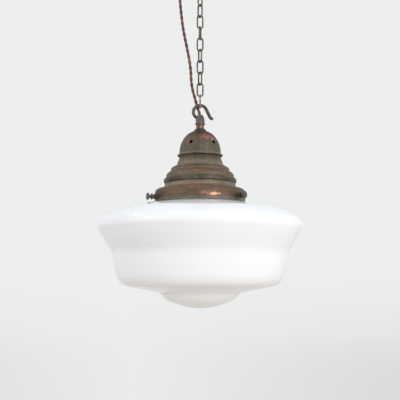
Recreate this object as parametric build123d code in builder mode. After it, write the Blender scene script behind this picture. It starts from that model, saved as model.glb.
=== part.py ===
from build123d import *
from math import cos, pi, radians, sin, tan
import os

# Pendant light with an opal glass shade, hung on a chain from a ceiling rose. Millimetres.
# The origin is the middle of the ceiling plate's upper face, on the ceiling, and +Z is up.
# +X is to the viewer's right and the viewer looks along +Y.

# Clearances
thread_clearance = 0.05
sheet_clearance = 0.2
hanging_clearance = 0.15
loose_clearance = 0.3

# Ceiling rose
cover_rim_radius = 48.0
cover_wall_radius = 45.5
cover_face_radius = 39.0
cover_depth = 30.0
cover_rim_height = 3.0
cover_shoulder_height = 4.5
rounds_of_cover = [7.0, 2.0, 1.2]
cover_sheet = 1.0
plate_radius = 40.0
plate_thickness = 3.0
plate_hole_spacing = 60.0
plate_hole_radius = 2.2
hook_boss_radius = 7.0
hook_boss_height = 12.0
hook_thread_depth = 9.0
hook_shank_radius = 3.0
hook_wire = 3.5
hook_eye_radius = 6.5
hook_eye_sweep = 300.0
cover_nut_radius = 7.5
cover_nut_height = 4.0
cover_nut_grooves = 24
cover_nut_groove_depth = 0.4
hook_neck = 1.5

# Flex and what holds it in the rose
flex_diameter = 3.9
core_diameter = 1.9
core_spread = 5.0
flex_exit_offset = 26.0
flex_bend_share = 0.45
gland_radius = 4.2
gland_flange_radius = 6.0
gland_flange_height = 2.0
gland_tip_radius = 3.0
gland_bore_clearance = 0.05
flex_jacket_end = 22.0
terminal_length = 20.0
terminal_width = 14.0
terminal_height = 13.0
terminal_core_depth = 8.0
terminal_screw_radius = 1.5
terminal_screw_head_radius = 2.3
terminal_screw_head_height = 1.4
terminal_screw_length = 5.0

# Chain: oval links, turned about the vertical as a chain hangs
link_wire = 1.9
link_inner_length = 14.6
link_outer_width = 8.8
top_link_turn = 90.0
link_turns = [-15.0, 47.0, -46.0, 14.0, 75.0, 0.0, -60.0, 3.0, -57.0, 3.0]
bottom_link_turn = 90.0

# Crook and hollow boss
crook_wire = 4.0
crook_radius = 8.3
crook_foot_angle = 240.0
crook_arm_angle = 25.0
crook_arm_length = 11.0
crook_tip_reach = 2.35
crook_tip_drop = 1.9
crook_tip_radius = 2.05
crest_to_boss = 12.4
boss_radius = 5.5
boss_crown_radius = 3.5
boss_crown_height = 5.2
boss_crown_round = 6.0
boss_height = 12.5
boss_ring_radius = 6.0
boss_ring_foot = 0.7
boss_ring_height = 1.8
boss_ring_round = 0.4
boss_mouth_radius = 2.8
boss_mouth_depth = 1.5

# Tube that carries everything below the boss, and what is stacked on it
nipple_radius = 4.0
nipple_bore_radius = 2.3
nipple_grip = 8.0
nipple_tail = 8.0
lock_nut_width = 14.0
lock_nut_height = 3.0
neck_radius = 4.75
neck_height = 4.8
collar_top_radius = 5.8
collar_foot_radius = 7.5
collar_height = 2.6
collar_edge_height = 0.8

# Vented dome: radii, and heights above the gallery's top
dome_radius = 25.5
dome_height = 34.6
dome_crown_radius = 8.0
dome_slope_radius = 14.6
dome_slope_height = 31.1
dome_corner_radius = 24.4
dome_corner_height = 21.9
dome_rim_radius = 28.0
dome_rim_top = 7.4
dome_rim_edge_top = 4.5
dome_rim_edge_foot = 3.4
dome_rim_foot = 1.4
dome_rim_round = 0.4
dome_sheet = 0.9
rounds_of_dome = [3.0, 5.0, 30.0]
vent_count = 5
vent_radius = 2.3
vent_height = 18.1
vent_first_angle = -117.5

# Stepped gallery: radii, and heights above the skirt's foot
gallery_height = 53.6
gallery_top_radius = 25.8
throat_foot_radius = 29.0
throat_foot_height = 45.4
first_step_radius = 35.9
first_step_height = 41.4
first_riser_radius = 36.1
first_riser_foot = 38.2
second_step_radius = 41.3
second_step_height = 34.1
second_riser_radius = 42.0
second_riser_foot = 28.9
gallery_bead_radius = 44.6
gallery_bead_top = 28.0
gallery_bead_foot = 24.0
groove_radius = 43.2
groove_height = 22.8
flare_radius = 44.1
flare_height = 17.8
skirt_shoulder_height = 14.6
skirt_radius = 55.4
gallery_sheet = 0.9
gallery_vent_count = 6
gallery_vent_radius = 2.4
gallery_vent_circle = 18.0
rounds_of_gallery = [0.5, 1.5, 3.4, 1.6, 4.5, 1.2, 1.5, 1.5, 0.9, 2.0, 5.4]

# Thumb screws round the skirt
screw_count = 3
screw_first_angle = -39.0
screw_height = 4.6
screw_shaft_radius = 1.5
screw_boss_radius = 3.2
screw_boss_reach = 4.0
screw_hole_clearance = 0.25
screw_collar_radius = 3.75
screw_collar_offset = 2.2
screw_collar_thickness = 1.0
screw_head_radius = 4.25
screw_head_offset = 7.0
screw_head_thickness = 1.6
screw_head_notches = 20
screw_head_notch_depth = 0.3
screw_stem_radius = 1.9

# Glass shade: insets from its widest radius, depths below the skirt's foot, and shares of the
# room between two of them. Its rounds are shares of the shorter run at each corner.
glass_wall = 3.0
lip_clearance = 1.9
lip_reach = 2.6
lip_height = 3.8
lip_slope = 0.6
lip_round = 1.2
shade_radius = 127.5
shade_depth = 128.9
crown_depth = 0.9
shoulder_share = 0.512
shoulder_depth = 5.3
brow_inset = 14.9
brow_depth = 12.9
widest_depth = 26.4
flank_inset = 9.1
flank_share = 0.228
waist_inset = 20.2
waist_share = 0.462
drum_inset = 23.2
drum_share = 0.711
drum_foot_inset = 29.9
drum_foot_rise = 9.6
crease_radius = 48.6
crease_rise = 18.3
bowl_side_inset = 6.6
bowl_side_rise = 9.7
bowl_foot_share = 0.32
round_shares_of_shade = [0.13, 0.19, 0.47, 0.45, 0.34, 0.21, 0.36, 0.5, 0.1, 0.7, 0.9]

# Lampholder with two sprung contacts and slots for the bulb's pins
holder_cap_top_radius = 7.0
holder_cap_radius = 15.0
holder_cap_height = 18.0
holder_cap_wall = 1.0
holder_cap_taper = 7.0
holder_cap_thread = 6.0
rounds_of_holder_cap = [2.0, 4.0]
holder_radius = 13.2
holder_wall = 0.9
holder_length = 31.0
holder_overlap = 4.0
holder_ring_radius = 16.6
holder_ring_height = 5.0
insulator_height = 8.0
barrel_radius = 3.0
barrel_rise = 2.0
barrel_core_depth = 2.0
plunger_radius = 2.0
plunger_spread = 5.0
plunger_reach = 4.0
plunger_depth = 4.0
spring_room = 1.5
pin_slot_width = 3.0
pin_slot_shift = 5.0

# Bulb
bulb_cap_radius = 11.0
bulb_cap_height = 25.5
bulb_cap_wall = 0.6
bulb_pin_radius = 1.0
bulb_pin_reach = 2.0
bulb_pin_depth = 7.0
bulb_base_thickness = 2.0
contact_radius = 2.4
contact_height = 0.8
bulb_glass_wall = 0.8
bulb_root_radius = 10.2
bulb_root_grip = 6.0
bulb_root_drop = 1.0
bulb_radius = 30.0
bulb_shoulder_drop = 30.0
bulb_length = 82.0
rounds_of_bulb = [8.0, 40.0, 29.5]
stem_radius = 4.0
stem_length = 32.0

least_round = 0.2


def parallel_corners(corners, distance):
    # Corners of the line that keeps a steady distance on the right of this one.
    points = [Vector(*corner) for corner in corners]
    runs = [(end - start).normalized() for start, end in zip(points, points[1:])]
    sides = [Vector(run.Y, -run.X) for run in runs]
    moved = [points[0] + sides[0] * distance]
    for point, before, after in zip(points[1:], sides, sides[1:]):
        moved.append(point + (before + after) * (distance / (1 + before.dot(after))))
    moved.append(points[-1] + sides[-1] * distance)
    return [(point.X, point.Y) for point in moved]


def parallel_rounds(corners, rounds, distance):
    # A corner that turns to the right gets tighter on that side, and the others get wider.
    points = [Vector(*corner) for corner in corners]
    moved = []
    for before, corner, after, size in zip(points, points[1:], points[2:], rounds):
        turns_right = (corner - before).cross(after - corner).Z < 0
        moved.append(max(size - distance if turns_right else size + distance, least_round))
    return moved


def sheet_of_revolution(corners, rounds, thickness):
    # A spun or blown wall: its outline, the parallel line inside it and the two ends.
    inner_corners = parallel_corners(corners, thickness)
    with BuildPart() as sheet:
        with BuildSketch(Plane.XZ):
            with BuildLine():
                FilletPolyline(*corners, radius=rounds)
                FilletPolyline(*inner_corners, radius=parallel_rounds(corners, rounds, thickness))
                Line(corners[0], inner_corners[0])
                Line(corners[-1], inner_corners[-1])
            make_face()
        revolve(axis=Axis.Z)
    return sheet


def fitted_rounds(corners, shares):
    # Each round takes its share of the shorter of the two runs that meet at the corner.
    points = [Vector(*corner) for corner in corners]
    runs = [end - start for start, end in zip(points, points[1:])]
    radii = []
    for before, after, share in zip(runs, runs[1:], shares):
        shorter = min(before.length, after.length)
        radii.append(share * shorter / tan(radians(before.get_angle(after)) / 2))
    return radii


def turned(*corners):
    # A solid of revolution about the vertical axis, from a closed outline.
    with BuildPart() as piece:
        with BuildSketch(Plane.XZ):
            with BuildLine():
                Polyline(*corners, close=True)
            make_face()
        revolve(axis=Axis.Z)
    return piece


def cord_tube(points):
    # Straight runs joined by arcs as large as the two runs at each corner allow.
    radii = fitted_rounds(points, [flex_bend_share] * (len(points) - 2))
    with BuildPart() as tube:
        with BuildLine() as line:
            FilletPolyline(*points, radius=radii)
        route = line.wire()
        with BuildSketch(Plane(origin=route @ 0, z_dir=route % 0)):
            Circle(flex_diameter / 2)
        sweep(path=route)
    print("arcs", [round(radius, 1) for radius in radii], "length", round(route.length, 2))
    print("volume share", round(tube.part.volume / (pi * flex_diameter**2 / 4 * route.length), 4))
    return tube


def write_piece(piece, label):
    piece.part.label = label
    export_step(piece.part, f"parts/{label}.step")


os.makedirs("parts", exist_ok=True)

# Levels on the vertical axis, from the ceiling down
cover_face_z = -cover_depth
cover_nut_foot_z = cover_face_z - cover_nut_height
eye_top_z = cover_nut_foot_z - hook_neck - hook_wire / 2
eye_centre_z = eye_top_z - hook_eye_radius
hook_pivot_z = eye_centre_z - hook_eye_radius
link_count = len(link_turns) + 2
link_pitch = link_inner_length - hanging_clearance
link_span = link_inner_length + link_wire
first_link_top_z = hook_pivot_z + (hook_wire + link_wire) / 2 + hanging_clearance
link_tops = [first_link_top_z - link_pitch * index for index in range(link_count)]
link_feet = [top - link_span for top in link_tops]
crest_z = link_feet[-1] + (link_wire + crook_wire) / 2 + hanging_clearance
crook_centre_z = crest_z - crook_radius
boss_top_z = crest_z - crest_to_boss
boss_foot_z = boss_top_z - boss_height
collar_top_z = boss_foot_z - neck_height
dome_top_z = collar_top_z - collar_height
gallery_top_z = dome_top_z - dome_height
skirt_foot_z = gallery_top_z - gallery_height
plate_foot_z = -plate_thickness

# Ceiling plate with a threaded boss for the hook
with BuildPart() as ceiling_plate:
    with BuildSketch(Plane.XY.offset(plate_foot_z)):
        Circle(plate_radius)
        with GridLocations(0, plate_hole_spacing, 1, 2):
            Circle(plate_hole_radius, mode=Mode.SUBTRACT)
    extrude(amount=plate_thickness)
    with BuildSketch(Plane.XY.offset(plate_foot_z - hook_boss_height)):
        Circle(hook_boss_radius)
    extrude(amount=hook_boss_height)
    with BuildSketch(Plane.XY.offset(plate_foot_z - hook_boss_height)):
        Circle(hook_shank_radius + thread_clearance)
    extrude(amount=hook_thread_depth, mode=Mode.SUBTRACT)
write_piece(ceiling_plate, "ceiling_plate")

# Open hook on a threaded shank
shank_top_z = plate_foot_z - hook_boss_height + hook_thread_depth
with BuildPart() as ceiling_hook:
    with BuildLine(Plane.XZ) as eye:
        CenterArc((0, eye_centre_z), hook_eye_radius, 90, -hook_eye_sweep)
    with BuildSketch(Plane(origin=eye.line @ 0, z_dir=eye.line % 0)):
        Circle(hook_wire / 2)
    sweep()
    with Locations(eye.line @ 1):
        Sphere(hook_wire / 2)
    with BuildSketch(Plane.XY.offset(eye_top_z)):
        Circle(hook_shank_radius)
    extrude(amount=shank_top_z - eye_top_z)
write_piece(ceiling_hook, "ceiling_hook")

# Cover of the rose, a spun pan with a turned rim
cover_corners = [
    (hook_shank_radius + sheet_clearance, cover_face_z),
    (cover_face_radius, cover_face_z),
    (cover_wall_radius, -cover_shoulder_height),
    (cover_rim_radius, -cover_rim_height),
    (cover_rim_radius, 0),
]
with BuildPart() as rose_cover:
    add(sheet_of_revolution(cover_corners, rounds_of_cover, -cover_sheet).part)
    with Locations((-flex_exit_offset, 0, cover_face_z)):
        Cylinder(gland_radius + thread_clearance, 4 * cover_sheet, mode=Mode.SUBTRACT)
write_piece(rose_cover, "rose_cover")

# Grooved nut that holds the cover up on the shank
with BuildPart() as cover_nut:
    with BuildSketch(Plane.XY.offset(cover_nut_foot_z)):
        Circle(cover_nut_radius)
        Circle(hook_shank_radius + thread_clearance, mode=Mode.SUBTRACT)
        with PolarLocations(cover_nut_radius, cover_nut_grooves):
            Circle(cover_nut_groove_depth, mode=Mode.SUBTRACT)
    extrude(amount=cover_nut_height)
write_piece(cover_nut, "cover_nut")

# Rubber gland that grips the cover's sheet and guides the flex down beside the hook
gland_bore_radius = flex_diameter / 2 + gland_bore_clearance
gland_outline = [
    (gland_bore_radius, cover_face_z + cover_sheet + gland_flange_height),
    (gland_flange_radius, cover_face_z + cover_sheet + gland_flange_height),
    (gland_flange_radius, cover_face_z + cover_sheet),
    (gland_radius, cover_face_z + cover_sheet),
    (gland_radius, cover_face_z),
    (gland_flange_radius, cover_face_z),
    (gland_flange_radius, cover_face_z - gland_flange_height),
    (gland_radius, cover_face_z - gland_flange_height),
    (gland_tip_radius, hook_pivot_z),
    (gland_bore_radius, hook_pivot_z),
]
with BuildPart() as cord_gland:
    with BuildSketch(Plane.XZ):
        with Locations((-flex_exit_offset, 0)):
            Polygon(*gland_outline, align=None)
    revolve(axis=Axis((-flex_exit_offset, 0, 0), (0, 0, 1)))
write_piece(cord_gland, "cord_gland")

# Two-way terminal block under the plate, with a side screw for each core
terminal_foot_z = plate_foot_z - terminal_height
terminal_middle_z = terminal_foot_z + terminal_core_depth / 2
core_places = [-core_spread / 2, core_spread / 2]
with BuildPart() as terminal_block:
    with BuildSketch(Plane.XY.offset(terminal_foot_z)):
        with Locations((-flex_exit_offset, 0)):
            Rectangle(terminal_length, terminal_width)
    extrude(amount=terminal_height)
    for place in core_places:
        with BuildSketch(Plane.XY.offset(terminal_foot_z)):
            with Locations((-flex_exit_offset + place, 0)):
                Circle(core_diameter / 2 + loose_clearance)
        extrude(amount=terminal_core_depth + loose_clearance, mode=Mode.SUBTRACT)
        with BuildSketch(Plane.XZ.offset(terminal_width / 2)):
            with Locations((-flex_exit_offset + place, terminal_middle_z)):
                Circle(terminal_screw_radius + thread_clearance)
        extrude(amount=-(terminal_screw_length + loose_clearance), mode=Mode.SUBTRACT)
write_piece(terminal_block, "terminal_block")

for number, place in enumerate(core_places, 1):
    with BuildPart() as terminal_screw:
        with BuildSketch(Plane.XZ.offset(terminal_width / 2)):
            with Locations((-flex_exit_offset + place, terminal_middle_z)):
                Circle(terminal_screw_head_radius)
        extrude(amount=terminal_screw_head_height)
        with BuildSketch(Plane.XZ.offset(terminal_width / 2)):
            with Locations((-flex_exit_offset + place, terminal_middle_z)):
                Circle(terminal_screw_radius)
        extrude(amount=-terminal_screw_length)
    write_piece(terminal_screw, f"terminal_screw_{number}")

# Flex inside the rose: the jacket from the gland's tip up, and its two cores
flex_jacket_top_z = -flex_jacket_end
with BuildPart() as flex_in_rose:
    with BuildSketch(Plane.XY.offset(hook_pivot_z)):
        with Locations((-flex_exit_offset, 0)):
            Circle(flex_diameter / 2)
    extrude(amount=flex_jacket_top_z - hook_pivot_z)
    for place in core_places:
        core_foot = (-flex_exit_offset + place * core_diameter / core_spread, 0, flex_jacket_top_z)
        core_head = (-flex_exit_offset + place, 0, terminal_foot_z)
        with BuildLine() as core_route:
            Line(core_foot, core_head)
        with BuildSketch(Plane(origin=core_foot, z_dir=core_route.line % 0)):
            Circle(core_diameter / 2 - loose_clearance / 2)
        sweep()
        with BuildSketch(Plane.XY.offset(terminal_foot_z - loose_clearance)):
            with Locations((-flex_exit_offset + place, 0)):
                Circle(core_diameter / 2)
        extrude(amount=terminal_core_depth)
write_piece(flex_in_rose, "flex_in_rose")

# Chain: each link is an oval ring, and the top and bottom ones stand across the hooks
link_bend_radius = (link_outer_width - link_wire) / 2
link_leg = link_span - 2 * link_bend_radius
all_link_turns = [top_link_turn, *link_turns, bottom_link_turn]
for number, (top, turn) in enumerate(zip(link_tops, all_link_turns), 1):
    across = Vector(cos(radians(turn)), sin(radians(turn)), 0)
    link_plane = Plane(
        origin=(0, 0, top - link_span / 2), x_dir=across, z_dir=across.cross(Vector(0, 0, 1))
    )
    with BuildPart() as link:
        with BuildLine(link_plane) as ring:
            Line((link_bend_radius, -link_leg / 2), (link_bend_radius, link_leg / 2))
            CenterArc((0, link_leg / 2), link_bend_radius, 0, 180)
            Line((-link_bend_radius, link_leg / 2), (-link_bend_radius, -link_leg / 2))
            CenterArc((0, -link_leg / 2), link_bend_radius, 180, 180)
        with BuildSketch(Plane(origin=ring.wire() @ 0, z_dir=ring.wire() % 0)):
            Circle(link_wire / 2)
        sweep(path=ring.wire())
    write_piece(link, f"chain_link_{number:02d}")

# Flex beside the chain, in two stretches that meet level with the bottom link's pivot
seam_z = link_feet[-2]
mouth_z = boss_top_z - boss_mouth_depth
upper_route = [
    (-flex_exit_offset, 0, hook_pivot_z),
    (-flex_exit_offset, 0, hook_pivot_z - 26.0),
    (-23.7, -0.5, hook_pivot_z - 50.0),
    (-20.0, -0.8, hook_pivot_z - 75.0),
    (-15.4, -1.4, hook_pivot_z - 100.0),
    (-12.5, -1.5, hook_pivot_z - 123.0),
    (-9.7, -0.4, seam_z + 12.4),
    (-6.9, 2.2, seam_z),
]
lower_route = [
    (-6.9, 2.2, seam_z),
    (-4.1, 4.8, seam_z - 12.4),
    (-0.9, 1.2, boss_top_z + 3.6),
    (0, 0, boss_top_z - 2.5),
]
flex_upper = cord_tube(upper_route)
write_piece(flex_upper, "flex_upper")
with BuildPart() as flex_lower:
    add(cord_tube(lower_route).part)
    split(bisect_by=Plane.XY.offset(mouth_z), keep=Keep.TOP)
write_piece(flex_lower, "flex_lower")

# Crook and its hollow boss, one casting
arm_across, arm_along = cos(radians(crook_arm_angle)), sin(radians(crook_arm_angle))
arm_end = (
    crook_radius * arm_across + crook_arm_length * arm_along,
    crook_centre_z + crook_radius * arm_along - crook_arm_length * arm_across,
)
crook_tip = (arm_end[0] + crook_tip_reach, arm_end[1] - crook_tip_drop)
nipple_top_z = boss_foot_z + nipple_grip
with BuildPart() as crook:
    with BuildLine(Plane.XZ) as crook_line:
        arc_sweep = crook_foot_angle - crook_arm_angle
        bend = CenterArc((0, crook_centre_z), crook_radius, crook_arm_angle, arc_sweep)
        Line(bend @ 0, arm_end)
        TangentArc(arm_end, crook_tip, tangent=(arm_along, -arm_across))
    with BuildSketch(Plane(origin=crook_line.wire() @ 0, z_dir=crook_line.wire() % 0)):
        Circle(crook_wire / 2)
    sweep(path=crook_line.wire())
    with Locations((crook_tip[0], 0, crook_tip[1])):
        Sphere(crook_tip_radius)
    with BuildSketch(Plane.XZ):
        Polygon(
            (0, boss_foot_z),
            (boss_radius, boss_foot_z),
            (boss_radius, boss_top_z - boss_crown_height),
            (boss_crown_radius, boss_top_z),
            (0, boss_top_z),
            align=None,
        )
        fillet(vertices().group_by(Axis.X)[-1].sort_by(Axis.Y)[-1], boss_crown_round)
        with Locations((0, boss_foot_z + boss_ring_foot)):
            Rectangle(boss_ring_radius, boss_ring_height, align=Align.MIN)
        fillet(vertices().group_by(Axis.X)[-1], boss_ring_round)
    revolve(axis=Axis.Z)
    with BuildSketch(Plane.XZ):
        Polygon(
            (0, boss_foot_z),
            (nipple_radius + thread_clearance, boss_foot_z),
            (nipple_radius + thread_clearance, nipple_top_z),
            (nipple_bore_radius, nipple_top_z),
            (nipple_bore_radius, mouth_z),
            (boss_mouth_radius, boss_top_z),
            (boss_mouth_radius, boss_top_z + boss_mouth_depth),
            (0, boss_top_z + boss_mouth_depth),
            align=None,
        )
    revolve(axis=Axis.Z, mode=Mode.SUBTRACT)
write_piece(crook, "crook")

# Nipple, and the neck sleeve and collar that are threaded on it
nipple_foot_z = gallery_top_z - nipple_tail
thread_radius = nipple_radius + thread_clearance
nipple = turned(
    (nipple_bore_radius, nipple_foot_z),
    (nipple_radius, nipple_foot_z),
    (nipple_radius, nipple_top_z),
    (nipple_bore_radius, nipple_top_z),
)
write_piece(nipple, "nipple")
neck_sleeve = turned(
    (thread_radius, collar_top_z),
    (neck_radius, collar_top_z),
    (neck_radius, boss_foot_z),
    (thread_radius, boss_foot_z),
)
write_piece(neck_sleeve, "neck_sleeve")
dome_collar = turned(
    (thread_radius, dome_top_z),
    (collar_foot_radius, dome_top_z),
    (collar_foot_radius, dome_top_z + collar_edge_height),
    (collar_top_radius, collar_top_z),
    (thread_radius, collar_top_z),
)
write_piece(dome_collar, "dome_collar")

# Dome with a flared rim and a ring of vents, standing on the gallery's top
dome_corners = [
    (nipple_radius + sheet_clearance, dome_top_z),
    (dome_crown_radius, dome_top_z),
    (dome_slope_radius, gallery_top_z + dome_slope_height),
    (dome_corner_radius, gallery_top_z + dome_corner_height),
    (dome_radius, gallery_top_z + dome_rim_top),
    (dome_radius, gallery_top_z),
]
dome_rim_start = (dome_radius, gallery_top_z + dome_rim_top)
dome_rim_tip = (dome_rim_radius, gallery_top_z + dome_rim_edge_top)
with BuildPart() as dome:
    add(sheet_of_revolution(dome_corners, [*rounds_of_dome, least_round], dome_sheet).part)
    with BuildSketch(Plane.XZ):
        with BuildLine():
            TangentArc(dome_rim_start, dome_rim_tip, tangent=(0, -1))
            Polyline(
                dome_rim_tip,
                (dome_rim_radius, gallery_top_z + dome_rim_edge_foot),
                (dome_radius, gallery_top_z + dome_rim_foot),
                (dome_radius - dome_sheet / 2, gallery_top_z + dome_rim_foot),
                (dome_radius - dome_sheet / 2, gallery_top_z + dome_rim_top),
                dome_rim_start,
            )
        make_face()
        fillet(vertices().group_by(Axis.X)[-1], dome_rim_round)
    revolve(axis=Axis.Z)
    for index in range(vent_count):
        angle = radians(vent_first_angle + 360 * index / vent_count)
        outward = (cos(angle), sin(angle), 0)
        with BuildSketch(Plane(origin=(0, 0, gallery_top_z + vent_height), z_dir=outward)):
            Circle(vent_radius)
        extrude(amount=dome_radius, mode=Mode.SUBTRACT)
write_piece(dome, "dome")

# Stepped gallery with its skirt
gallery_steps = [
    (nipple_radius + sheet_clearance, gallery_height),
    (gallery_top_radius, gallery_height),
    (throat_foot_radius, throat_foot_height),
    (first_step_radius, first_step_height),
    (first_riser_radius, first_riser_foot),
    (second_step_radius, second_step_height),
    (second_riser_radius, second_riser_foot),
    (gallery_bead_radius, gallery_bead_top),
    (gallery_bead_radius, gallery_bead_foot),
    (groove_radius, groove_height),
    (flare_radius, flare_height),
    (skirt_radius, skirt_shoulder_height),
    (skirt_radius, 0),
]
gallery_corners = [(radius, skirt_foot_z + height) for radius, height in gallery_steps]
screw_z = skirt_foot_z + screw_height
screw_planes = []
for index in range(screw_count):
    angle = radians(screw_first_angle - 360 * index / screw_count)
    screw_planes.append(Plane(origin=(0, 0, screw_z), z_dir=(cos(angle), sin(angle), 0)))
with BuildPart() as gallery:
    add(sheet_of_revolution(gallery_corners, rounds_of_gallery, gallery_sheet).part)
    with BuildSketch(Plane.XY.offset(gallery_top_z)):
        with PolarLocations(gallery_vent_circle, gallery_vent_count):
            Circle(gallery_vent_radius)
    extrude(amount=-2 * gallery_sheet, mode=Mode.SUBTRACT)
    for screw_plane in screw_planes:
        with BuildSketch(screw_plane):
            Circle(screw_shaft_radius + screw_hole_clearance)
        extrude(amount=skirt_radius + screw_boss_reach, mode=Mode.SUBTRACT)
write_piece(gallery, "gallery")

# Screw bosses brazed to the skirt, and the thumb screws that hold the shade's lip
lip_radius = skirt_radius - gallery_sheet - lip_clearance
neck_glass_radius = lip_radius - lip_reach
screw_boss_face = skirt_radius + screw_boss_reach
screw_tip = neck_glass_radius + loose_clearance
for number, screw_plane in enumerate(screw_planes, 1):
    with BuildPart() as screw_boss:
        with BuildSketch(screw_plane.offset(skirt_radius - screw_boss_reach)):
            Circle(screw_boss_radius)
            Circle(screw_shaft_radius + thread_clearance, mode=Mode.SUBTRACT)
        extrude(amount=2 * screw_boss_reach)
        with BuildSketch(Plane.XY.offset(skirt_foot_z)):
            Circle(skirt_radius)
        extrude(amount=skirt_shoulder_height, mode=Mode.SUBTRACT)
    write_piece(screw_boss, f"screw_boss_{number}")

    with BuildPart() as thumb_screw:
        with BuildSketch(screw_plane.offset(screw_tip)):
            Circle(screw_shaft_radius)
        extrude(amount=screw_boss_face + screw_collar_offset - screw_tip)
        with BuildSketch(screw_plane.offset(screw_boss_face + screw_collar_offset)):
            Circle(screw_collar_radius)
        extrude(amount=screw_collar_thickness)
        with BuildSketch(screw_plane.offset(screw_boss_face + screw_collar_offset)):
            Circle(screw_stem_radius)
        extrude(amount=screw_head_offset - screw_collar_offset)
        with BuildSketch(screw_plane.offset(screw_boss_face + screw_head_offset)):
            Circle(screw_head_radius)
            with PolarLocations(screw_head_radius, screw_head_notches):
                Circle(screw_head_notch_depth, mode=Mode.SUBTRACT)
        extrude(amount=screw_head_thickness)
    write_piece(thumb_screw, f"thumb_screw_{number}")

# Blown shade: crown, brow, waist, drum and bowl, with a lip that hangs on the screws
lip_foot_z = screw_z + screw_shaft_radius + loose_clearance
lip_top_z = lip_foot_z + lip_height
brow_radius = shade_radius - brow_inset
shoulder_radius = neck_glass_radius + shoulder_share * (brow_radius - neck_glass_radius)
widest_z = skirt_foot_z - widest_depth
shade_foot_z = skirt_foot_z - shade_depth
crease_z = shade_foot_z + crease_rise
wall_height = widest_z - crease_z - drum_foot_rise
bowl_side_radius = crease_radius - bowl_side_inset
bowl_foot_radius = bowl_foot_share * bowl_side_radius
shade_corners = [
    (neck_glass_radius, lip_top_z),
    (neck_glass_radius, skirt_foot_z - crown_depth),
    (shoulder_radius, skirt_foot_z - shoulder_depth),
    (brow_radius, skirt_foot_z - brow_depth),
    (shade_radius, widest_z),
    (shade_radius - flank_inset, widest_z - flank_share * wall_height),
    (shade_radius - waist_inset, widest_z - waist_share * wall_height),
    (shade_radius - drum_inset, widest_z - drum_share * wall_height),
    (shade_radius - drum_foot_inset, crease_z + drum_foot_rise),
    (crease_radius, crease_z),
    (bowl_side_radius, shade_foot_z + bowl_side_rise),
    (bowl_foot_radius, shade_foot_z),
    (0, shade_foot_z),
]
rounds_of_shade = fitted_rounds(shade_corners, round_shares_of_shade)
with BuildPart() as shade:
    add(sheet_of_revolution(shade_corners, rounds_of_shade, glass_wall).part)
    with BuildSketch(Plane.XZ):
        Polygon(
            (neck_glass_radius - glass_wall / 2, lip_foot_z),
            (neck_glass_radius, lip_foot_z),
            (lip_radius, lip_foot_z + lip_slope),
            (lip_radius, lip_top_z),
            (neck_glass_radius - glass_wall / 2, lip_top_z),
            align=None,
        )
        fillet(vertices().group_by(Axis.X)[-1], lip_round)
    revolve(axis=Axis.Z)
write_piece(shade, "shade")

# Hexagonal nuts above and below the gallery's top
lock_nut_levels = [gallery_top_z, gallery_top_z - gallery_sheet - lock_nut_height]
for number, level in enumerate(lock_nut_levels, 1):
    with BuildPart() as lock_nut:
        with BuildSketch(Plane.XY.offset(level)):
            RegularPolygon(lock_nut_width / 2, 6, major_radius=False)
            Circle(thread_radius, mode=Mode.SUBTRACT)
        extrude(amount=lock_nut_height)
    write_piece(lock_nut, f"lock_nut_{number}")

# Lampholder: cap on the nipple, slotted body, and the ring that joins them
holder_cap_top_z = lock_nut_levels[1]
holder_cap_foot_z = holder_cap_top_z - holder_cap_height
holder_top_z = holder_cap_foot_z + holder_overlap
holder_foot_z = holder_top_z - holder_length
insulator_foot_z = holder_top_z - insulator_height
contact_z = insulator_foot_z - plunger_reach
bulb_base_z = contact_z - contact_height
pin_z = bulb_base_z - bulb_pin_depth
holder_cap_corners = [
    (thread_radius, holder_cap_top_z),
    (holder_cap_top_radius, holder_cap_top_z),
    (holder_cap_radius, holder_cap_top_z - holder_cap_taper),
    (holder_cap_radius, holder_cap_foot_z),
]
with BuildPart() as holder_cap:
    add(sheet_of_revolution(holder_cap_corners, rounds_of_holder_cap, holder_cap_wall).part)
    with BuildSketch(Plane.XY.offset(holder_cap_top_z - holder_cap_wall)):
        Circle(thread_radius + holder_cap_wall)
        Circle(thread_radius, mode=Mode.SUBTRACT)
    extrude(amount=holder_cap_wall - holder_cap_thread)
write_piece(holder_cap, "holder_cap")

with BuildPart() as holder_body:
    with BuildSketch(Plane.XY.offset(holder_foot_z)):
        Circle(holder_radius)
        Circle(holder_radius - holder_wall, mode=Mode.SUBTRACT)
    extrude(amount=holder_length)
    for side in (1, -1):
        slot_plane = Plane(origin=(0, 0, 0), x_dir=(0, side, 0), z_dir=(side, 0, 0))
        with BuildSketch(slot_plane):
            with Locations((pin_slot_shift, (holder_foot_z + pin_z) / 2)):
                Rectangle(pin_slot_width, pin_z - holder_foot_z + pin_slot_width)
            with Locations((pin_slot_shift / 2, pin_z)):
                Rectangle(pin_slot_shift + pin_slot_width, pin_slot_width)
        extrude(amount=holder_radius + holder_wall, mode=Mode.SUBTRACT)
write_piece(holder_body, "holder_body")

holder_ring_middle_radius = holder_cap_radius + thread_clearance
holder_ring_bore_radius = holder_radius + thread_clearance
holder_ring = turned(
    (holder_ring_bore_radius, holder_cap_foot_z - holder_ring_height / 2),
    (holder_ring_radius, holder_cap_foot_z - holder_ring_height / 2),
    (holder_ring_radius, holder_cap_foot_z + holder_ring_height / 2),
    (holder_ring_middle_radius, holder_cap_foot_z + holder_ring_height / 2),
    (holder_ring_middle_radius, holder_cap_foot_z),
    (holder_ring_bore_radius, holder_cap_foot_z),
)
write_piece(holder_ring, "holder_ring")

# Insulator that carries two barrels, each with a sprung plunger
barrel_bore_depth = plunger_depth + spring_room
with BuildPart() as holder_insulator:
    with BuildSketch(Plane.XY.offset(insulator_foot_z)):
        Circle(holder_radius - holder_wall - thread_clearance)
        with GridLocations(0, 2 * plunger_spread, 1, 2):
            Circle(barrel_radius + thread_clearance, mode=Mode.SUBTRACT)
    extrude(amount=insulator_height)
write_piece(holder_insulator, "holder_insulator")

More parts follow.
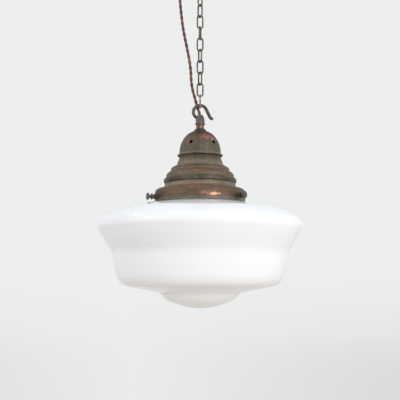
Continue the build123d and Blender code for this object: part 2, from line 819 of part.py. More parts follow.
for number, place in enumerate((-plunger_spread, plunger_spread), 1):
    with BuildPart() as barrel:
        with BuildSketch(Plane.XY.offset(insulator_foot_z)):
            with Locations((0, place)):
                Circle(barrel_radius)
        extrude(amount=insulator_height + barrel_rise)
        with BuildSketch(Plane.XY.offset(insulator_foot_z)):
            with Locations((0, place)):
                Circle(plunger_radius + thread_clearance)
        extrude(amount=barrel_bore_depth, mode=Mode.SUBTRACT)
        with BuildSketch(Plane.XY.offset(holder_top_z + barrel_rise)):
            with Locations((0, place)):
                Circle(core_diameter / 2 + thread_clearance)
        extrude(amount=-barrel_core_depth, mode=Mode.SUBTRACT)
    write_piece(barrel, f"contact_barrel_{number}")

    with BuildPart() as plunger:
        with BuildSketch(Plane.XY.offset(contact_z)):
            with Locations((0, place)):
                Circle(plunger_radius)
        extrude(amount=plunger_reach + plunger_depth)
    write_piece(plunger, f"contact_plunger_{number}")

# Flex inside the lamp: the jacket through the nipple, and its cores to the barrels
core_head_z = nipple_foot_z
core_foot_z = holder_top_z + barrel_rise - barrel_core_depth
with BuildPart() as flex_in_lamp:
    with BuildSketch(Plane.XY.offset(core_head_z)):
        Circle(flex_diameter / 2)
    extrude(amount=mouth_z - core_head_z)
    for side in (-1, 1):
        core_corners = [
            (0, side * core_diameter / 2, core_head_z),
            (0, side * plunger_spread, holder_top_z + barrel_rise + core_diameter),
            (0, side * plunger_spread, core_foot_z),
        ]
        with BuildLine() as core_line:
            FilletPolyline(*core_corners, radius=core_diameter)
        with BuildSketch(Plane(origin=core_line.wire() @ 0, z_dir=core_line.wire() % 0)):
            Circle(core_diameter / 2)
        sweep(path=core_line.wire())
write_piece(flex_in_lamp, "flex_in_lamp")

# Bulb: metal cap with two pins, insulating base with two contacts, glass and stem
bulb_cap_foot_z = bulb_base_z - bulb_cap_height
bulb_bore_radius = bulb_cap_radius - bulb_cap_wall
with BuildPart() as bulb_cap:
    with BuildSketch(Plane.XY.offset(bulb_cap_foot_z)):
        Circle(bulb_cap_radius)
    extrude(amount=bulb_cap_height)
    with BuildSketch(Plane.YZ.offset(-bulb_cap_radius - bulb_pin_reach)):
        with Locations((0, pin_z)):
            Circle(bulb_pin_radius)
    extrude(amount=2 * (bulb_cap_radius + bulb_pin_reach))
    with BuildSketch(Plane.XY.offset(bulb_cap_foot_z)):
        Circle(bulb_bore_radius)
    extrude(amount=bulb_cap_height, mode=Mode.SUBTRACT)
write_piece(bulb_cap, "bulb_cap")

with BuildPart() as bulb_base:
    with BuildSketch(Plane.XY.offset(bulb_base_z - bulb_base_thickness)):
        Circle(bulb_bore_radius - thread_clearance)
    extrude(amount=bulb_base_thickness)
write_piece(bulb_base, "bulb_base")

for number, place in enumerate((-plunger_spread, plunger_spread), 1):
    with BuildPart() as bulb_contact:
        with BuildSketch(Plane.XY.offset(bulb_base_z)):
            with Locations((0, place)):
                Circle(contact_radius)
        extrude(amount=contact_height)
    write_piece(bulb_contact, f"bulb_contact_{number}")

bulb_corners = [
    (bulb_root_radius, bulb_cap_foot_z + bulb_root_grip),
    (bulb_root_radius, bulb_cap_foot_z - bulb_root_drop),
    (bulb_radius, bulb_cap_foot_z - bulb_shoulder_drop),
    (bulb_radius, bulb_cap_foot_z - bulb_length),
    (0, bulb_cap_foot_z - bulb_length),
]
bulb_glass = sheet_of_revolution(bulb_corners, rounds_of_bulb, bulb_glass_wall)
write_piece(bulb_glass, "bulb_glass")

with BuildPart() as bulb_stem:
    with BuildSketch(Plane.XY.offset(bulb_base_z - bulb_base_thickness)):
        Circle(stem_radius)
    extrude(amount=bulb_base_thickness - bulb_cap_height - stem_length)
write_piece(bulb_stem, "bulb_stem")
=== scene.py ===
import math

import bmesh
import bpy
import numpy as np
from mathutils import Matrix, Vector


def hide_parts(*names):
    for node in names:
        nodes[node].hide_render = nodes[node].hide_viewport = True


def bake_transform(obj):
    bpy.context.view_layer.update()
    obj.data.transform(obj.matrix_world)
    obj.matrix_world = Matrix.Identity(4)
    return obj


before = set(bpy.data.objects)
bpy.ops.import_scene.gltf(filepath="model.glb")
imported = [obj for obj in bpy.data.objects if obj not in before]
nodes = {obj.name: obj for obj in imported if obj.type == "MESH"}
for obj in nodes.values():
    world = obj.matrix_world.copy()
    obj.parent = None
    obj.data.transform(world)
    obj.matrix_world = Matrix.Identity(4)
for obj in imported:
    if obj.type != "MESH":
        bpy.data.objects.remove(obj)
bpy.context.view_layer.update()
scene = bpy.context.scene
mm = 0.001
mergeDistance = 0.001 * mm
print("frame loaded:", len(nodes), "nodes")


# Camera: the photograph is taken about a metre away, from below the shade's middle and looking up
camera = {
    "place": (-0.12 * mm, -1.0, -0.4418),
    "pitch": 5.95,
    "focalPixels": 820.7,
    "frameWidth": 400,
    "sensor": 36.0,
}


def placeCamera(settings):
    data = bpy.data.cameras.new("camera")
    data.sensor_width = settings["sensor"]
    data.lens = settings["sensor"] * settings["focalPixels"] / settings["frameWidth"]
    eye = bpy.data.objects.new("camera", data)
    eye.location = settings["place"]
    eye.rotation_euler = (math.radians(90 + settings["pitch"]), 0, 0)
    scene.collection.objects.link(eye)
    scene.camera = eye


placeCamera(camera)
print("camera placed")


# Meshes from whole arrays
def meshObject(name, points, faces, uv=None, material=None):
    # points is (n, 3), faces is (m, 3 or 4), and uv has one row for each corner of each face
    mesh = bpy.data.meshes.new(name)
    mesh.from_pydata(points.tolist(), [], faces.tolist())
    mesh.polygons.foreach_set("use_smooth", np.ones(len(faces), bool))
    if uv is not None:
        layer = mesh.uv_layers.new(name="uv")
        layer.data.foreach_set("uv", uv.astype(np.float32).ravel())
    joined = bmesh.new()
    joined.from_mesh(mesh)
    bmesh.ops.remove_doubles(joined, verts=joined.verts, dist=mergeDistance)
    joined.to_mesh(mesh)
    joined.free()
    mesh.update()
    piece = bpy.data.objects.new(name, mesh)
    scene.collection.objects.link(piece)
    if material is not None:
        mesh.materials.append(material)
    return piece


def roundGrid(rows, columns):
    # row and column of the corners of each quad of a grid whose last column meets the first
    r, c = np.meshgrid(np.arange(rows - 1), np.arange(columns), indexing="ij")
    rowOf = np.stack([r, r, r + 1, r + 1], axis=-1).reshape(-1, 4)
    columnOf = np.stack([c, c + 1, c + 1, c], axis=-1).reshape(-1, 4)
    return rowOf, columnOf


# Flex: two braided strands twisted round one line, which runs beside the chain
flex = {
    "diameter": 3.9 * mm,
    "strandRadius": 1.28 * mm,
    "helixRadius": 0.6 * mm,
    "lay": 14.5 * mm,
    "steps": 0.35 * mm,
    "sides": 16,
    "yarnsRound": 8,
    "splineOrder": 3,
    "splineResolution": 24,
    "bendFoot": -110 * mm,
    "mouthHeight": -233.65 * mm,
}
upperRoute = np.array([
    (-26.0, 0.0, -50.25), (-26.0, 0.0, -76.25), (-24.0, -0.5, -100.25), (-20.9, -0.8, -125.25),
    (-15.6, -1.4, -150.25), (-11.5, -1.5, -173.25), (-10.9, -0.4, -196.0), (-6.9, 2.2, -208.4),
]) * mm
lowerRoute = np.array([
    (-6.9, 2.2, -208.4), (-3.6, 4.8, -220.8), (-0.9, 1.2, -228.55), (0.0, 0.0, -234.65),
    (0.0, 0.0, -238.6),
]) * mm


def routeLine(name, route):
    # points along the smooth spline that has the route's points as its control points
    data = bpy.data.curves.new(name, "CURVE")
    data.dimensions = "3D"
    data.resolution_u = flex["splineResolution"]
    spline = data.splines.new("NURBS")
    spline.points.add(len(route) - 1)
    spline.points.foreach_set("co", np.c_[route, np.ones(len(route))].ravel())
    spline.order_u = flex["splineOrder"]
    spline.use_endpoint_u = True
    holder = bpy.data.objects.new(name, data)
    scene.collection.objects.link(holder)
    mesh = bpy.data.meshes.new_from_object(holder)
    points = np.zeros(len(mesh.vertices) * 3)
    mesh.vertices.foreach_get("co", points)
    bpy.data.objects.remove(holder)
    return points.reshape(-1, 3)


def lengthsAlong(points):
    return np.r_[0, np.cumsum(np.linalg.norm(np.diff(points, axis=0), axis=1))]


def framesAlong(points):
    # tangent, and two directions across it of which the first stays as near to +X as it can
    tangent = np.gradient(points, axis=0)
    tangent /= np.linalg.norm(tangent, axis=1, keepdims=True)
    side = np.array([1.0, 0, 0]) - tangent[:, :1] * tangent
    side /= np.linalg.norm(side, axis=1, keepdims=True)
    return tangent, side, np.cross(tangent, side)


def strand(line, phase):
    # helix round the line: line + helixRadius * (cos t * side + sin t * other), t = 2 pi s / lay,
    # and a round tube on that helix whose first and last rings close to a point
    along = lengthsAlong(line)
    s = np.linspace(0, along[-1], int(along[-1] / flex["steps"]) + 1)
    middle = np.stack([np.interp(s, along, line[:, k]) for k in range(3)], axis=1)
    tangent, side, other = framesAlong(middle)
    turn = 2 * np.pi * s / flex["lay"] + phase
    outward = np.cos(turn)[:, None] * side + np.sin(turn)[:, None] * other
    centre = middle + flex["helixRadius"] * outward
    tangent, side, other = framesAlong(centre)
    angle = np.linspace(0, 2 * np.pi, flex["sides"], endpoint=False)[None, :, None]
    around = np.cos(angle) * side[:, None] + np.sin(angle) * other[:, None]
    rings = centre[:, None] + flex["strandRadius"] * around
    ends = [np.repeat(centre[row, None, None], flex["sides"], axis=1) for row in (0, -1)]
    points = np.concatenate([ends[0], rings, ends[1]])
    rowOf, columnOf = roundGrid(len(points), flex["sides"])
    faces = rowOf * flex["sides"] + columnOf % flex["sides"]
    # u goes once round the strand, and v counts its length in turns round it
    lengthOf = np.r_[s[0], s, s[-1]][rowOf] / (2 * np.pi * flex["strandRadius"])
    uv = np.stack([columnOf / flex["sides"], lengthOf], axis=-1)
    return points.reshape(-1, 3), faces, uv.reshape(-1, 2)


def twistedFlex(name, line, startTurn, material):
    # the second strand is the first turned half round the line
    one, other = strand(line, startTurn), strand(line, startTurn + np.pi)
    points = np.r_[one[0], other[0]]
    faces = np.r_[one[1], other[1] + len(one[0])]
    return meshObject(name, points, faces, np.r_[one[2], other[2]], material)


# Shader maths: a wire is one output socket, and arithmetic on it adds Math nodes
class Wire:
    def __init__(self, tree, socket=None):
        self.tree = tree
        self.socket = socket

    def node(self, kind, settings=None, inputs=None, output=0):
        made = self.tree.nodes.new(kind)
        for name, value in (settings or {}).items():
            if name == "stops":
                ramp = made.color_ramp
                while len(ramp.elements) < len(value):
                    ramp.elements.new(0.5)
                for element, (place, colour) in zip(ramp.elements, value):
                    element.position = place
                    element.color = (*colour, 1)
            else:
                setattr(made, name, value)
        for name, value in (inputs or {}).items():
            if isinstance(value, Wire):
                self.tree.links.new(value.socket, made.inputs[name])
            else:
                made.inputs[name].default_value = value
        return Wire(self.tree, made.outputs[output] if made.outputs else None)

    def maths(self, operation, *others):
        values = dict(enumerate((self, *others)))
        return self.node("ShaderNodeMath", {"operation": operation}, values)

    def split(self):
        # x, y and z of a vector
        parts = self.node("ShaderNodeSeparateXYZ", None, {"Vector": self})
        return [Wire(self.tree, socket) for socket in parts.socket.node.outputs]

    def __add__(self, other):
        return self.maths("ADD", other)

    def __sub__(self, other):
        return self.maths("SUBTRACT", other)

    def __rsub__(self, other):
        return self * -1.0 + other

    def __mul__(self, other):
        return self.maths("MULTIPLY", other)

    def __truediv__(self, other):
        return self.maths("DIVIDE", other)

    __radd__ = __add__
    __rmul__ = __mul__

    def smooth(self, start, full):
        # 0 up to start, 1 from full on, and a smooth step between them
        values = {"Value": self, "From Min": start, "From Max": full}
        return self.node("ShaderNodeMapRange", {"interpolation_type": "SMOOTHSTEP"}, values)

    def noise(self, scale, detail=3.0, roughness=0.55, distortion=0.0):
        values = {"Vector": self, "Scale": scale, "Detail": detail, "Roughness": roughness,
                  "Distortion": distortion}
        return self.node("ShaderNodeTexNoise", None, values)

    def stretched(self, sizes):
        return self.node("ShaderNodeMapping", None, {"Vector": self, "Scale": sizes})

    def mixed(self, first, second):
        # colour first where this value is 0, and second where it is 1
        values = {"Factor": self, 6: opaque(first), 7: opaque(second)}
        return self.node("ShaderNodeMix", {"data_type": "RGBA"}, values, output=2)


def opaque(colour):
    return colour if isinstance(colour, Wire) else (*colour, 1)


def colourOf(red, green, blue):
    # linear colour of a screen colour c from 0 to 255: with s = c / 255, it is s / 12.92 up to
    # s = 0.04045 and ((s + 0.055) / 1.055) to the power 2.4 above
    screen = np.array([red, green, blue]) / 255
    linear = np.where(screen <= 0.04045, screen / 12.92, ((screen + 0.055) / 1.055) ** 2.4)
    return tuple(linear.tolist())


def material(name, describe):
    made = bpy.data.materials.new(name)
    made.use_nodes = True
    tree = made.node_tree
    tree.nodes.clear()
    wire = Wire(tree)
    placed = wire.node("ShaderNodeTexCoord", output=3)
    shader = wire.node("ShaderNodeBsdfPrincipled", None, describe(wire, placed))
    wire.node("ShaderNodeOutputMaterial", None, {"Surface": shader})
    return made


def bumped(wire, height, looks):
    values = {"Height": height, "Distance": looks["depth"], "Strength": looks["strength"]}
    return wire.node("ShaderNodeBump", None, values)


def grainsOf(placed, looks):
    # noise by name, from its scale, detail, roughness and, for some, distortion
    return {name: placed.noise(*values) for name, values in looks["grains"].items()}


def coloursOf(looks):
    return {name: colourOf(*screen) for name, screen in looks["colours"].items()}


def layered(base, grains, colours, layers):
    # each layer is a noise, where it starts and is full, its share there, and its colour
    for grain, start, full, share, colour in layers:
        base = (grains[grain].smooth(start, full) * share).mixed(base, colours[colour])
    return base


def drifted(value, grain, drift):
    # the value, moved up and down by the grain
    return value + (grain - 0.5) * drift


def surface(wire, base, grains, looks):
    return {
        "Base Color": base,
        "Metallic": looks["metallic"],
        "Roughness": drifted(looks["roughness"], grains[looks["drifting"]], looks["drift"]),
        "Normal": bumped(wire, grains["fine"], looks),
    }


def described(looks):
    # a finish that is all grains and layers
    def describe(wire, placed):
        grains, colours = grainsOf(placed, looks), coloursOf(looks)
        base = layered(colours[looks["ground"]], grains, colours, looks["layers"])
        return surface(wire, base, grains, looks)
    return describe


# Aged bronze: olive-brown patina, worn to copper where it was rubbed, and dark in the grooves,
# with some painted light: painted highlights on lit rims and on the skirt's front, and a painted
# shadow under the dome's rim. A place is an angle round the axis in degrees, 0 at the front and +
# to the right, and a height in mm. Bands give the patina by height, with those painted highlights
# and that painted shadow.
bronze = {
    "colours": {
        "olive": (108, 95, 76), "slate": (84, 77, 63), "brown": (98, 76, 57), "dark": (54, 47, 38),
        "khaki": (134, 120, 98), "copper": (216, 154, 124), "rose": (136, 90, 71),
    },
    "grains": {
        "blotch": (75, 5, 0.62, 0.5), "soot": (130, 4, 0.65), "fine": (560, 4, 0.7),
        "speckle": (1300, 3, 0.6), "edge": (210, 5, 0.75, 0.3),
    },
    "stretchedGrains": {
        "streak": {"sizes": (1, 1, 0.12), "noise": (330, 3, 0.6)},
        "turned": {"sizes": (0.05, 0.05, 1), "noise": (900, 3, 0.6)},
    },
    "layers": [
        ("blotch", 0.50, 0.68, 0.5, "olive"), ("soot", 0.50, 0.72, 0.45, "dark"),
        ("turned", 0.52, 0.75, 0.3, "khaki"), ("streak", 0.52, 0.70, 0.3, "khaki"),
        ("fine", 0.48, 0.30, 0.4, "dark"),
    ],
    "speckles": [("speckle", 0.60, 0.68, 0.5, "dark")],
    "bandTop": -250.0,
    "bandFoot": -341.0,
    "blotchWander": 4.0,
    "fineWander": 1.6,
    "raggedness": 2.4,
    "patchEdge": (1.5, -0.5),
    "rustStreak": (0.46, 0.60),
    "rustShare": 0.7,
    "copperGrain": (0.3, 0.6),
    "copperLeast": 0.7,
    "roseShare": 1.15,
    "copperEdge": (0.34, 0.78),
    "metallic": 0.4,
    "copperMetallic": 0.3,
    "roughness": 0.58,
    "copperSmoother": 0.16,
    "drift": 0.4,
    "relief": {"fine": 0.5, "blotch": 0.35, "turned": 0.15},
    "depth": 0.0006,
    "strength": 0.8,
    # the khaki bands on the dome's rim, the first step and the flare above the skirt are partly
    # painted highlights where the edges catch the light, and the dark band at -284 is a painted
    # shadow under the dome's rim
    "bands": [
        (-250, "dark"), (-256, "dark"), (-262, "brown"), (-269, "slate"), (-279.6, "slate"),
        (-281.6, "khaki"), (-284, "dark"), (-287.5, "slate"), (-291.5, "olive"), (-296, "khaki"),
        (-298, "olive"), (-299.3, "dark"), (-300.8, "olive"), (-303.4, "brown"), (-306.5, "brown"),
        (-309, "olive"), (-313, "slate"), (-317, "slate"), (-320.0, "khaki"), (-323.6, "khaki"),
        (-325.6, "brown"), (-327.6, "brown"), (-331, "brown"), (-336, "slate"), (-338.6, "olive"),
        (-340.4, "khaki"),
    ],
    # the patches at angles 7, 18 and 33 on the skirt's front are a painted highlight in copper
    # colour; the others are copper where the patina is worn
    "copperAndHighlightPatches": [
        {"angle": 22, "height": -262.4, "wide": 34, "tall": 5.2, "share": 0.62},
        {"angle": 43, "height": -264.4, "wide": 13, "tall": 2.6, "share": 0.72},
        {"angle": -36, "height": -264.0, "wide": 30, "tall": 7.0, "share": 0.32},
        {"angle": -12, "height": -305.6, "wide": 28, "tall": 2.4, "share": 0.54},
        {"angle": -6, "height": -327.2, "wide": 17, "tall": 1.7, "share": 0.55},
        {"angle": -31, "height": -332.4, "wide": 17, "tall": 3.8, "share": 0.44},
        {"angle": 7, "height": -333.8, "wide": 13, "tall": 3.4, "share": 0.66},
        {"angle": 18, "height": -335.3, "wide": 11, "tall": 2.7, "share": 1.0},
        {"angle": 33, "height": -335.6, "wide": 14, "tall": 2.4, "share": 0.34},
        {"angle": 140, "height": -331.0, "wide": 24, "tall": 4.0, "share": 0.6},
        {"angle": -150, "height": -262.0, "wide": 30, "tall": 6.0, "share": 0.5},
        {"angle": -125, "height": -306.0, "wide": 26, "tall": 3.0, "share": 0.45},
    ],
    "darkPatches": [
        {"angle": -46, "height": -314.4, "wide": 16, "tall": 4.6, "share": 0.75},
        {"angle": 3, "height": -313.2, "wide": 10, "tall": 2.8, "share": 0.7},
        {"angle": 33, "height": -312.0, "wide": 7, "tall": 2.6, "share": 0.6},
        {"angle": 46, "height": -315.4, "wide": 7, "tall": 2.6, "share": 0.6},
        {"angle": 4, "height": -289.4, "wide": 14, "tall": 2.6, "share": 0.35},
        {"angle": -80, "height": -333.0, "wide": 38, "tall": 8.0, "share": 0.75},
        {"angle": -24, "height": -259.5, "wide": 52, "tall": 7.0, "share": 0.62},
        {"angle": 168, "height": -313.0, "wide": 12, "tall": 4.0, "share": 0.6},
        {"angle": 120, "height": -290.0, "wide": 20, "tall": 3.0, "share": 0.4},
    ],
    "rust": {"angle": 52, "height": -301.0, "wide": 26, "tall": 13.0, "share": 0.75},
}


def places(placed):
    # angle round the axis in degrees and height in mm, both as wires
    x, y, z = placed.split()
    return x.maths("ARCTAN2", y * -1.0) * (180 / math.pi), z * 1000.0


def patch(angle, height, ragged, spot):
    # share in the middle of the spot, falling softly to 0 at its ragged oval edge
    across = (angle - spot["angle"]) / spot["wide"]
    up = (height - spot["height"]) / spot["tall"]
    inside = (across * across + up * up + ragged).smooth(*bronze["patchEdge"])
    return inside * spot["share"]


def largest(values):
    top = values[0]
    for value in values[1:]:
        top = top.maths("MAXIMUM", value)
    return top


def describeBronze(wire, placed):
    angle, height = places(placed)
    grains, colours = grainsOf(placed, bronze), coloursOf(bronze)
    for name, values in bronze["stretchedGrains"].items():
        grains[name] = placed.stretched(values["sizes"]).noise(*values["noise"])
    blotch, fine = grains["blotch"], grains["fine"]
    ragged = (grains["edge"] - 0.5) * bronze["raggedness"]
    top, span = bronze["bandTop"], bronze["bandFoot"] - bronze["bandTop"]
    stops = [((level - top) / span, colours[name]) for level, name in bronze["bands"]]
    wandered = drifted(height, blotch, bronze["blotchWander"])
    wandered = drifted(wandered, fine, bronze["fineWander"])
    base = wire.node("ShaderNodeValToRGB", {"stops": stops}, {"Fac": (wandered - top) / span})
    base = layered(base, grains, colours, bronze["layers"])
    for spot in bronze["darkPatches"]:
        base = patch(angle, height, ragged, spot).mixed(base, colours["dark"])
    rust = patch(angle, height, ragged, bronze["rust"])
    rust = rust * grains["streak"].smooth(*bronze["rustStreak"]) * bronze["rustShare"]
    base = rust.mixed(base, colours["rose"])
    # copper where the patina is worn, together with the painted highlight on the skirt's front
    wornAndHighlight = largest([patch(angle, height, ragged, spot) for spot in bronze["copperAndHighlightPatches"]])
    least = bronze["copperLeast"]
    wornAndHighlight = wornAndHighlight * (least + fine.smooth(*bronze["copperGrain"]) * (1 - least))
    base = (wornAndHighlight * bronze["roseShare"]).mixed(base, colours["rose"])
    base = wornAndHighlight.smooth(*bronze["copperEdge"]).mixed(base, colours["copper"])
    base = layered(base, grains, colours, bronze["speckles"])
    relief = sum(grains[name] * share for name, share in bronze["relief"].items())
    roughness = bronze["roughness"] - wornAndHighlight * bronze["copperSmoother"]
    return {
        "Base Color": base,
        "Metallic": wornAndHighlight * bronze["copperMetallic"] + bronze["metallic"],
        "Roughness": drifted(roughness, blotch, bronze["drift"]),
        "Normal": bumped(wire, relief, bronze),
    }


# Neck below the crook's boss: patina partly rubbed back to copper, with a painted highlight: a
# lighter copper streak down the front
neck = {
    "colours": {"patina": (80, 62, 52), "rubbed": (124, 86, 68), "light": (166, 116, 90)},
    "grains": {"blotch": (260, 4, 0.6), "fine": (900, 3, 0.6)},
    "layers": [("blotch", 0.36, 0.62, 1.0, "rubbed")],
    "highlightAngle": 8.0,
    "highlightEdge": (26, 4),
    "highlightGrain": (0.38, 0.55),
    "highlightShare": 0.6,
    "metallic": 0.5,
    "roughness": 0.48,
    "drifting": "fine",
    "drift": 0.3,
    "depth": 0.0002,
    "strength": 0.5,
}


def describeNeck(wire, placed):
    angle, _ = places(placed)
    grains, colours = grainsOf(placed, neck), coloursOf(neck)
    base = layered(colours["patina"], grains, colours, neck["layers"])
    # painted highlight: the light colour is laid in a streak round the front of the neck
    light = (angle - neck["highlightAngle"]).maths("ABSOLUTE").smooth(*neck["highlightEdge"])
    light = light * grains["blotch"].smooth(*neck["highlightGrain"]) * neck["highlightShare"]
    return surface(wire, light.mixed(base, colours["light"]), grains, neck)


# Dark bronze of the hooks, collar and thumb screws
darkBronze = {
    "colours": {
        "dark": (58, 54, 50), "grey": (98, 97, 92), "brown": (92, 68, 54), "pale": (132, 128, 116),
    },
    "ground": "dark",
    "grains": {"blotch": (150, 4, 0.65), "cloud": (90, 3, 0.6, 0.4), "fine": (800, 3, 0.6)},
    "layers": [
        ("blotch", 0.38, 0.62, 1.0, "grey"), ("cloud", 0.50, 0.64, 0.6, "brown"),
        ("fine", 0.58, 0.72, 0.45, "pale"),
    ],
    "metallic": 0.5,
    "roughness": 0.46,
    "drifting": "blotch",
    "drift": 0.4,
    "depth": 0.0003,
    "strength": 0.6,
}


def chainLooks(shade, light, fleck):
    # drawn wire: shade and light in patches of a few mm, with flecks where it was rubbed
    return {
        "colours": {"shade": shade, "light": light, "fleck": fleck},
        "ground": "shade",
        "grains": {"blotch": (140, 3, 0.6), "fine": (420, 3, 0.6)},
        "layers": [("blotch", 0.38, 0.62, 1.0, "light"), ("fine", 0.52, 0.68, 0.5, "fleck")],
        "metallic": 0.5,
        "roughness": 0.5,
        "drifting": "fine",
        "drift": 0.3,
        "depth": 0.0002,
        "strength": 0.4,
    }


# Braid of the flex: two sets of yarns cross on each strand, with painted shade in the grooves
# between them
braidLooks = {
    "colours": {"brown": (92, 57, 49), "faded": (122, 80, 69), "gapShade": (46, 31, 27)},
    "grains": {"fade": (90, 3, 0.6), "fluff": (2600, 2, 0.6)},
    "layers": [("fade", 0.35, 0.65, 1.0, "faded")],
    "gapEdge": (0.9, 0.6),
    "gapShare": 0.55,
    "fluffRelief": 0.5,
    "roughness": 0.9,
    "sheen": 0.2,
    "depth": 0.0003,
    "strength": 0.7,
}


def describeBraid(wire, placed):
    # weave is the larger of |sin((u + v) yarns pi)| and |sin((u - v) yarns pi)|
    u, v, _ = wire.node("ShaderNodeTexCoord", output=2).split()
    ridge = flex["yarnsRound"] * math.pi
    leaning = [((u + v * lean) * ridge).maths("SINE").maths("ABSOLUTE") for lean in (1.0, -1.0)]
    weave = largest(leaning)
    grains, colours = grainsOf(placed, braidLooks), coloursOf(braidLooks)
    base = layered(colours["brown"], grains, colours, braidLooks["layers"])
    # painted shade: the grooves between the yarns are darkened
    gapShade = weave.smooth(*braidLooks["gapEdge"]) * braidLooks["gapShare"]
    return {
        "Base Color": gapShade.mixed(base, colours["gapShade"]),
        "Roughness": braidLooks["roughness"],
        "Sheen Weight": braidLooks["sheen"],
        "Normal": bumped(wire, weave + grains["fluff"] * braidLooks["fluffRelief"], braidLooks),
    }


# Opal glass: near white, cloudy below a polished surface with a slight ripple
opal = {
    "colours": {"milk": (246, 247, 248), "white": (249, 250, 251)},
    "grains": {"cloud": (9, 2, 0.5), "ripple": (16, 2, 0.4)},
    "layers": [("cloud", 0.35, 0.65, 1.0, "white")],
    "roughness": 0.09,
    "index": 1.5,
    "cloudiness": 0.35,
    "lightReach": (0.012, 0.012, 0.011),
    "depth": 0.0006,
    "strength": 0.25,
}


def describeOpal(wire, placed):
    grains, colours = grainsOf(placed, opal), coloursOf(opal)
    return {
        "Base Color": layered(colours["milk"], grains, colours, opal["layers"]),
        "Roughness": opal["roughness"],
        "IOR": opal["index"],
        "Subsurface Weight": opal["cloudiness"],
        "Subsurface Radius": opal["lightReach"],
        "Subsurface Scale": 1.0,
        "Normal": bumped(wire, grains["ripple"], opal),
    }


def plainLooks(ground, light, scale, roughness, metallic=0.0):
    # two close colours in one fine grain
    return {
        "colours": {"ground": ground, "light": light},
        "ground": "ground",
        "grains": {"fine": (scale, 4, 0.6)},
        "layers": [("fine", 0.35, 0.65, 1.0, "light")],
        "metallic": metallic,
        "roughness": roughness,
        "drifting": "fine",
        "drift": 0.2,
        "depth": 0.0002,
        "strength": 0.5,
    }


plainFinishes = {
    "steel": ("steel", (150, 150, 148), (176, 176, 174), 300, 0.42, 0.9),
    "rubber": ("rubber", (38, 37, 36), (52, 50, 48), 500, 0.8),
    "porcelain": ("porcelain", (228, 224, 214), (238, 235, 228), 120, 0.22),
    "bright_brass": ("brightBrass", (188, 158, 92), (206, 178, 112), 200, 0.32, 0.95),
    "bulb_glass": ("bulbGlass", (236, 236, 232), (242, 242, 240), 60, 0.25),
    "bulb_metal": ("bulbMetal", (170, 166, 150), (190, 186, 172), 260, 0.35, 0.9),
    "black_plastic": ("blackPlastic", (26, 26, 27), (36, 36, 37), 400, 0.4),
}
chain = chainLooks((72, 64, 56), (110, 98, 82), (128, 112, 90))
# The last link, on the crook, gets lighter copper colours
lighterChain = chainLooks((104, 84, 66), (150, 116, 86), (172, 138, 104))
slotMaterials = {
    "aged_bronze": material("agedBronze", describeBronze),
    "dark_bronze": material("darkBronze", described(darkBronze)),
    "chain_bronze": material("chainBronze", described(chain)),
    "brown_braid": material("brownBraid", describeBraid),
    "opal_glass": material("opalGlass", describeOpal),
}
for slot, (name, *values) in plainFinishes.items():
    slotMaterials[slot] = material(name, described(plainLooks(*values)))
copperNeck = material("copperNeck", describeNeck)
lighterLink = material("lighterLink", described(lighterChain))
print("materials made:", len(slotMaterials))

for node in nodes.values():
    for holder in node.material_slots:
        slot = holder.material.name.split(".")[0]
        if slot not in slotMaterials:
            print("no finish for", node.name, slot)
        holder.material = slotMaterials.get(slot, slotMaterials["steel"])
nodes["neck_sleeve"].material_slots[0].material = copperNeck
nodes["chain_link_12"].material_slots[0].material = lighterLink

braid = slotMaterials["brown_braid"]
upperLine = routeLine("upperRoute", upperRoute)
lowerLine = routeLine("lowerRoute", lowerRoute)
lowerTurn = 2 * math.pi * lengthsAlong(upperLine)[-1] / flex["lay"]
flexUpper = twistedFlex("flexUpper", upperLine, 0.0, braid)
flexLower = twistedFlex("flexLower", lowerLine, lowerTurn, braid)
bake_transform(flexUpper)
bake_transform(flexLower)
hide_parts("flex_upper")
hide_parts("flex_lower")
print("flex made:", lengthsAlong(upperLine)[-1], lengthsAlong(lowerLine)[-1])


# Stage: a pale floor far below, and soft light. A reach is two distances from the middle in m,
# and a rise is two heights of the direction looked in, from -1 straight down to 1 straight up.
stage = {
    "floorHeight": -1.3,
    "floorSize": 30.0,
    "backdrop": colourOf(237, 238, 238),
    "backdropLow": colourOf(218, 218, 218),
    "sky": colourOf(240, 243, 247),
    "ground": colourOf(206, 196, 182),
    "zenith": colourOf(214, 218, 223),
    "skyStrength": 0.98,
    "floorNear": (0.68, 0.56, 0.44),
    "floorFar": (0.84, 0.83, 0.82),
    "paleReach": (0.6, 3.2),
    "duskReach": (22, 5),
    "litReach": (1.8, 4.5),
    "skyRise": (-0.5, 0.12),
    "zenithRise": (0.35, 0.95),
    "duskRise": (0.03, -0.15),
    "duskMiddle": -0.09,
    "duskGrowth": 2.3,
    "duskLeast": 0.15,
    "duskAhead": (0.6, 0.9),
}


def seenDirectly(wire):
    # 1 for rays from the camera, and for rays mirrored or let through by the object
    rays = wire.node("ShaderNodeLightPath").socket.node.outputs
    names = ("Is Camera Ray", "Is Glossy Ray", "Is Transmission Ray")
    return largest([Wire(wire.tree, rays[name]) for name in names])


def duskAcross(side, ahead):
    # how much darker the low backdrop is behind the lamp, least a little left of the middle
    away = (side - stage["duskMiddle"]).maths("ABSOLUTE")
    return (away * stage["duskGrowth"] + stage["duskLeast"]) * ahead.smooth(*stage["duskAhead"])


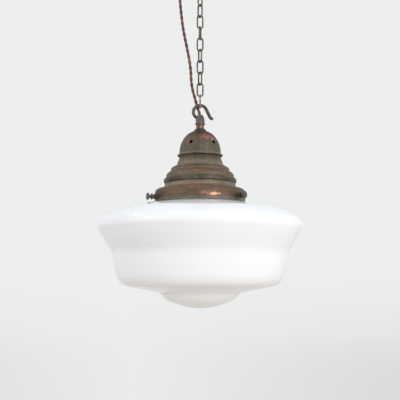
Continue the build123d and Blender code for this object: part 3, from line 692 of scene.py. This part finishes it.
def makeStage(settings):
    half = settings["floorSize"] / 2
    corners = np.array([(-half, -half, 0), (half, -half, 0), (half, half, 0), (-half, half, 0)])
    corners[:, 2] = settings["floorHeight"]
    made = bpy.data.materials.new("paleFloor")
    made.use_nodes = True
    tree = made.node_tree
    tree.nodes.clear()
    wire = Wire(tree)
    placed = wire.node("ShaderNodeTexCoord", output=3)
    far = wire.node("ShaderNodeVectorMath", {"operation": "LENGTH"}, {0: placed}, output=1)
    pale = far.smooth(*settings["paleReach"]).mixed(settings["floorNear"], settings["floorFar"])
    lit = wire.node("ShaderNodeBsdfDiffuse", None, {"Color": pale})
    across, ahead, _ = placed.split()
    dusk = far.smooth(*settings["duskReach"]) * duskAcross(across / far, ahead / far)
    shown = dusk.mixed(settings["backdrop"], settings["backdropLow"])
    seen = wire.node("ShaderNodeEmission", None, {"Color": shown})
    fade = far.smooth(*settings["litReach"]) * seenDirectly(wire)
    shader = wire.node("ShaderNodeMixShader", None, {"Fac": fade, 1: lit, 2: seen})
    wire.node("ShaderNodeOutputMaterial", None, {"Surface": shader})
    floor = meshObject("floor", corners, np.array([[0, 1, 2, 3]]), material=made)


def makeWorld(settings):
    # light comes from a soft sky, and what the camera, metal and glass see is the pale backdrop
    world = bpy.data.worlds.new("studio")
    world.use_nodes = True
    scene.world = world
    tree = world.node_tree
    tree.nodes.clear()
    wire = Wire(tree)
    x, y, z = wire.node("ShaderNodeTexCoord").split()
    sky = z.smooth(*settings["skyRise"]).mixed(settings["ground"], settings["sky"])
    sky = z.smooth(*settings["zenithRise"]).mixed(sky, settings["zenith"])
    lighting = {"Color": sky, "Strength": settings["skyStrength"]}
    lightOnly = wire.node("ShaderNodeBackground", None, lighting)
    low = z.smooth(*settings["duskRise"]) * duskAcross(x, y)
    backdrop = low.mixed(settings["backdrop"], settings["backdropLow"])
    seen = wire.node("ShaderNodeBackground", None, {"Color": backdrop, "Strength": 1.0})
    mixing = {"Fac": seenDirectly(wire), 1: lightOnly, 2: seen}
    shader = wire.node("ShaderNodeMixShader", None, mixing)
    wire.node("ShaderNodeOutputWorld", None, {"Surface": shader})


lampMiddle = (0, 0, -0.35)
lights = [
    {"name": "keyLight", "place": (1.5, -1.9, 0.05), "target": lampMiddle, "size": (1.4, 1.4),
     "power": 27, "colour": (0.98, 0.99, 1.0)},
    {"name": "fillLight", "place": (-2.0, -1.2, 0.1), "target": lampMiddle, "size": (1.2, 1.6),
     "power": 7, "colour": (1.0, 0.99, 0.98)},
    {"name": "windowLight", "place": (-1.0, -0.1, 0.5), "target": (-0.06, -0.1, -0.36),
     "size": (0.22, 0.1), "power": 1.8, "colour": (1, 1, 1)},
]


def areaLight(name, place, target, size, power, colour):
    data = bpy.data.lights.new(name, "AREA")
    data.shape = "RECTANGLE"
    data.size, data.size_y = size
    data.energy = power
    data.color = colour
    lamp = bpy.data.objects.new(name, data)
    lamp.location = place
    lamp.rotation_euler = (Vector(target) - Vector(place)).to_track_quat("-Z", "Y").to_euler()
    scene.collection.objects.link(lamp)


makeStage(stage)
makeWorld(stage)
for light in lights:
    areaLight(**light)
print("stage and lights made")

scene.view_settings.view_transform = "Standard"
